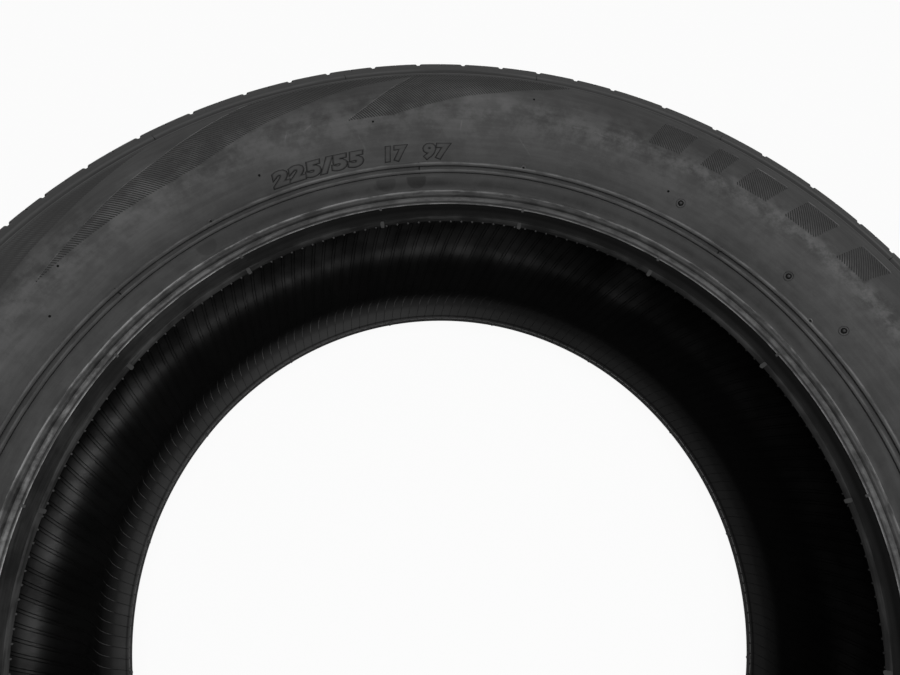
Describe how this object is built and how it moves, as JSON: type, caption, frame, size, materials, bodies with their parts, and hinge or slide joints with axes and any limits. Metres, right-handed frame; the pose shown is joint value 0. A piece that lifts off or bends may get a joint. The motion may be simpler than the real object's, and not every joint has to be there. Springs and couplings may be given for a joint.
{
  "type": "car tyre",
  "caption": "Radial car tyre off its rim: grooved tread with slotted shoulders, bulging sidewalls with rim ribs, and beads that press onto a wheel rim.",
  "frame": {"origin": "the tyre's centre, on the axle line midway between the sidewalls", "axes": "+Z along the axle, out of the sidewall that faces up; X and Y across the diameter; the tyre lies on its lower sidewall"},
  "size_m": [0.6799, 0.6799, 0.226],
  "materials": {
    "tyre_rubber": "moulded black rubber, satin sidewall and matt tread"
  },
  "bodies": {
    "root": {"tyre": "tyre_rubber"}
  },
  "joints": []
}
